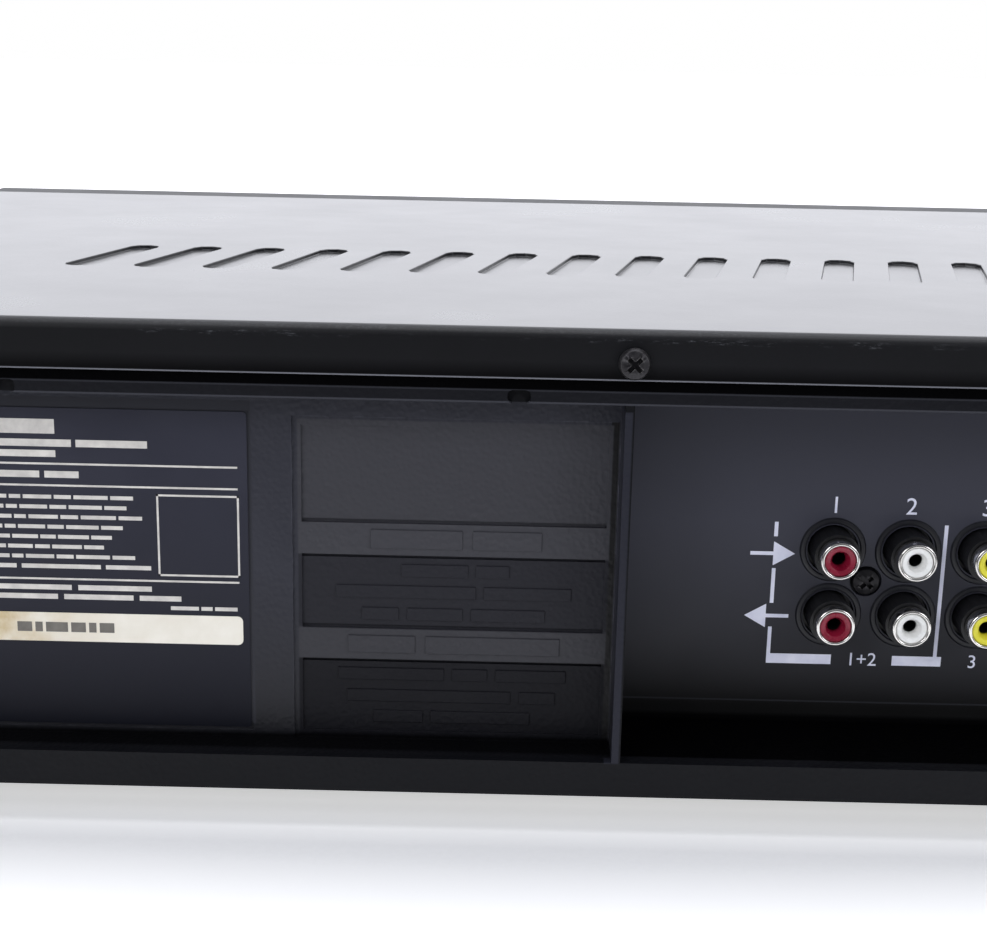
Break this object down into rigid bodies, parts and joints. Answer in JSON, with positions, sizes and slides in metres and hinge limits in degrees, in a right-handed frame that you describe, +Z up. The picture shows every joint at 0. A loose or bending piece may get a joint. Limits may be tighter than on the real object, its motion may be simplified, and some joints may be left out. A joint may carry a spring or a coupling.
{
  "type": "video cassette recorder",
  "caption": "Front-loading video cassette recorder: sheet-steel cover, moulded case with a rear jack bay, front keys, a swinging slot door, a cassette carriage and a tape deck.",
  "frame": {"origin": "on the ground under the middle of the whole machine, keys and screw heads included", "axes": "+Z up, -Y towards the person who faces the front panel, +X to that person's right; the jacks are on the +Y side"},
  "size_m": [0.38, 0.2924, 0.1046],
  "materials": {
    "black_plastic": "grained black moulding",
    "bezel_plastic": "smooth dark grey moulding",
    "key_plastic": "smooth dark grey moulding",
    "jack_plastic": "black moulding",
    "black_paint": "satin black paint on folded steel sheet",
    "zinc_steel": "zinc-plated pressed steel",
    "bright_metal": "bright tinned or nickel-plated metal",
    "black_screw": "black oxide",
    "rubber": "moulded black rubber",
    "smoked_window": "smoked acrylic",
    "display_glass": "evacuated glass envelope",
    "green_board": "green solder mask on a glass-fibre board",
    "brown_board": "bare phenolic board",
    "transformer_iron": "varnished laminations and taped winding",
    "aluminium": "turned or extruded aluminium",
    "grey_nylon": "moulded acetal",
    "brass": "turned brass"
  },
  "bodies": {
    "case_and_deck": {"chassis": "black_plastic", "bottom_plate": "zinc_steel", "front_left_foot": "rubber", "front_right_foot": "rubber", "rear_left_foot": "rubber", "rear_right_foot": "rubber", "top_cover": "black_paint", "cover_screw": "black_screw", "front_panel": "bezel_plastic", "display_window": "smoked_window", "display_tube": "display_glass", "front_board": "brown_board", "front_jack_block": "jack_plastic", "jack_block": "jack_plastic", "right_in_jack_shell": "bright_metal", "left_in_jack_shell": "bright_metal", "video_in_jack_shell": "bright_metal", "right_out_jack_shell": "bright_metal", "left_out_jack_shell": "bright_metal", "video_out_jack_shell": "bright_metal", "jack_screw": "black_screw", "tuner_box": "bright_metal", "cord_gland": "rubber", "main_board": "green_board", "power_transformer": "transformer_iron", "heat_sink": "aluminium", "deck_plate": "zinc_steel", "drum_base": "aluminium", "capstan_motor": "green_board", "loading_motor": "bright_metal", "control_head": "bright_metal", "left_carriage_bracket": "zinc_steel", "right_carriage_bracket": "zinc_steel"},
    "door": {"cassette_door": "bezel_plastic"},
    "power_key": {"power_button": "key_plastic"},
    "eject_key": {"eject_button": "key_plastic"},
    "play_key": {"play_button": "key_plastic"},
    "stop_key": {"stop_button": "key_plastic"},
    "rewind_key": {"rewind_button": "key_plastic"},
    "fast_forward_key": {"fast_forward_button": "key_plastic"},
    "record_key": {"record_button": "key_plastic"},
    "channel_up_key": {"channel_up_button": "key_plastic"},
    "channel_down_key": {"channel_down_button": "key_plastic"},
    "channel_selector": {"channel_switch": "key_plastic"},
    "sliders": {"left_slider": "grey_nylon", "right_slider": "grey_nylon"},
    "holder": {"cassette_holder": "zinc_steel"},
    "rack_gear": {"carriage_gear": "grey_nylon"},
    "supply_table": {"supply_reel": "grey_nylon"},
    "take_up_table": {"take_up_reel": "grey_nylon"},
    "idler_swing": {"idler_arm": "zinc_steel"},
    "idler_tyre": {"idler_wheel": "rubber"},
    "drum_upper": {"drum_rotor": "aluminium"},
    "flywheel": {"capstan": "bright_metal"},
    "pressure_arm": {"pinch_arm": "zinc_steel"},
    "pressure_roller": {"pinch_roller": "rubber"},
    "cam": {"cam_gear": "grey_nylon"},
    "motor_pinion": {"loading_pinion": "brass"},
    "supply_shoe": {"supply_guide": "brass"},
    "take_up_shoe": {"take_up_guide": "brass"}
  },
  "joints": [
    {"name": "door_swing", "type": "hinge", "parent": "case_and_deck", "child": "door", "pos_m": [0, -0.14085, 0.0895], "axis": [1, 0, 0], "range_deg": [0, 88], "stiffness_Nm_per_rad": 0.02, "springref_deg": -17.19},
    {"name": "power_key_press", "type": "slide", "parent": "case_and_deck", "child": "power_key", "axis": [0, 1, 0], "range_m": [0, 0.0012], "stiffness_N_per_m": 500, "springref_m": -0.0005},
    {"name": "eject_key_press", "type": "slide", "parent": "case_and_deck", "child": "eject_key", "axis": [0, 1, 0], "range_m": [0, 0.0012], "stiffness_N_per_m": 500, "springref_m": -0.0005},
    {"name": "play_key_press", "type": "slide", "parent": "case_and_deck", "child": "play_key", "axis": [0, 1, 0], "range_m": [0, 0.0012], "stiffness_N_per_m": 500, "springref_m": -0.0005},
    {"name": "stop_key_press", "type": "slide", "parent": "case_and_deck", "child": "stop_key", "axis": [0, 1, 0], "range_m": [0, 0.0012], "stiffness_N_per_m": 500, "springref_m": -0.0005},
    {"name": "rewind_key_press", "type": "slide", "parent": "case_and_deck", "child": "rewind_key", "axis": [0, 1, 0], "range_m": [0, 0.0012], "stiffness_N_per_m": 500, "springref_m": -0.0005},
    {"name": "fast_forward_key_press", "type": "slide", "parent": "case_and_deck", "child": "fast_forward_key", "axis": [0, 1, 0], "range_m": [0, 0.0012], "stiffness_N_per_m": 500, "springref_m": -0.0005},
    {"name": "record_key_press", "type": "slide", "parent": "case_and_deck", "child": "record_key", "axis": [0, 1, 0], "range_m": [0, 0.0012], "stiffness_N_per_m": 500, "springref_m": -0.0005},
    {"name": "channel_up_key_press", "type": "slide", "parent": "case_and_deck", "child": "channel_up_key", "axis": [0, 1, 0], "range_m": [0, 0.0012], "stiffness_N_per_m": 500, "springref_m": -0.0005},
    {"name": "channel_down_key_press", "type": "slide", "parent": "case_and_deck", "child": "channel_down_key", "axis": [0, 1, 0], "range_m": [0, 0.0012], "stiffness_N_per_m": 500, "springref_m": -0.0005},
    {"name": "channel_select", "type": "slide", "parent": "case_and_deck", "child": "channel_selector", "axis": [1, 0, 0], "range_m": [0, 0.003]},
    {"name": "carriage_slide", "type": "slide", "parent": "case_and_deck", "child": "sliders", "axis": [0, 1, 0], "range_m": [-0.06, 0]},
    {"name": "holder_drop", "type": "slide", "parent": "sliders", "child": "holder", "axis": [0, 0, -1], "range_m": [0, 0.018]},
    {"name": "carriage_gear_turn", "type": "hinge", "parent": "case_and_deck", "child": "rack_gear", "pos_m": [0.1031, -0.04535, 0.0438], "axis": [-1, 0, 0], "range_deg": [-614.9, 0]},
    {"name": "supply_reel_spin", "type": "hinge", "parent": "case_and_deck", "child": "supply_table", "pos_m": [-0.046, -0.03835, 0.0318], "axis": [0, 0, 1], "continuous": true},
    {"name": "take_up_reel_spin", "type": "hinge", "parent": "case_and_deck", "child": "take_up_table", "pos_m": [0.046, -0.03835, 0.0318], "axis": [0, 0, 1], "continuous": true},
    {"name": "idler_arm_swing", "type": "hinge", "parent": "case_and_deck", "child": "idler_swing", "pos_m": [0, -0.07035, 0.0354], "axis": [0, 0, 1], "range_deg": [-6.4, 6.4]},
    {"name": "idler_wheel_spin", "type": "hinge", "parent": "idler_swing", "child": "idler_tyre", "pos_m": [0, -0.03835, 0.0318], "axis": [0, 0, 1], "continuous": true},
    {"name": "drum_spin", "type": "hinge", "parent": "case_and_deck", "child": "drum_upper", "pos_m": [0, 0.06418, 0.05383], "axis": [0, 0.0872, 0.9962], "continuous": true},
    {"name": "capstan_spin", "type": "hinge", "parent": "case_and_deck", "child": "flywheel", "pos_m": [0.058, 0.03415, 0.0318], "axis": [0, 0, 1], "continuous": true},
    {"name": "cam_turn", "type": "hinge", "parent": "case_and_deck", "child": "cam", "pos_m": [-0.078, 0.0664, 0.0318], "axis": [0, 0, 1], "range_deg": [0, 170.5]},
    {"name": "loading_pinion_turn", "type": "hinge", "parent": "case_and_deck", "child": "motor_pinion", "pos_m": [-0.078, 0.04165, 0.0318], "axis": [0, 0, -1], "range_deg": [0, 682]},
    {"name": "supply_guide_travel", "type": "slide", "parent": "case_and_deck", "child": "supply_shoe", "axis": [-0.1351, 0.9908, 0], "range_m": [0, 0.06661]},
    {"name": "take_up_guide_travel", "type": "slide", "parent": "case_and_deck", "child": "take_up_shoe", "axis": [0.1351, 0.9908, 0], "range_m": [0, 0.06667]},
    {"name": "pinch_arm_swing", "type": "hinge", "parent": "case_and_deck", "child": "pressure_arm", "pos_m": [0.084, 0.05915, 0.0318], "axis": [0, 0, -1], "range_deg": [0, 40.1]},
    {"name": "pinch_roller_spin", "type": "hinge", "parent": "pressure_arm", "child": "pressure_roller", "pos_m": [0.08724, 0.02832, 0.0318], "axis": [0, 0, 1], "continuous": true}
  ],
  "couplings": [
    {"joint": "take_up_guide_travel", "follows": "supply_guide_travel", "ratio": 1},
    {"joint": "cam_turn", "follows": "supply_guide_travel", "rad_per_m": 44.543},
    {"joint": "loading_pinion_turn", "follows": "supply_guide_travel", "rad_per_m": 178.17},
    {"joint": "pinch_arm_swing", "follows": "supply_guide_travel", "rad_per_m": 10.481},
    {"joint": "carriage_gear_turn", "follows": "carriage_slide", "rad_per_m": 178.57}
  ]
}
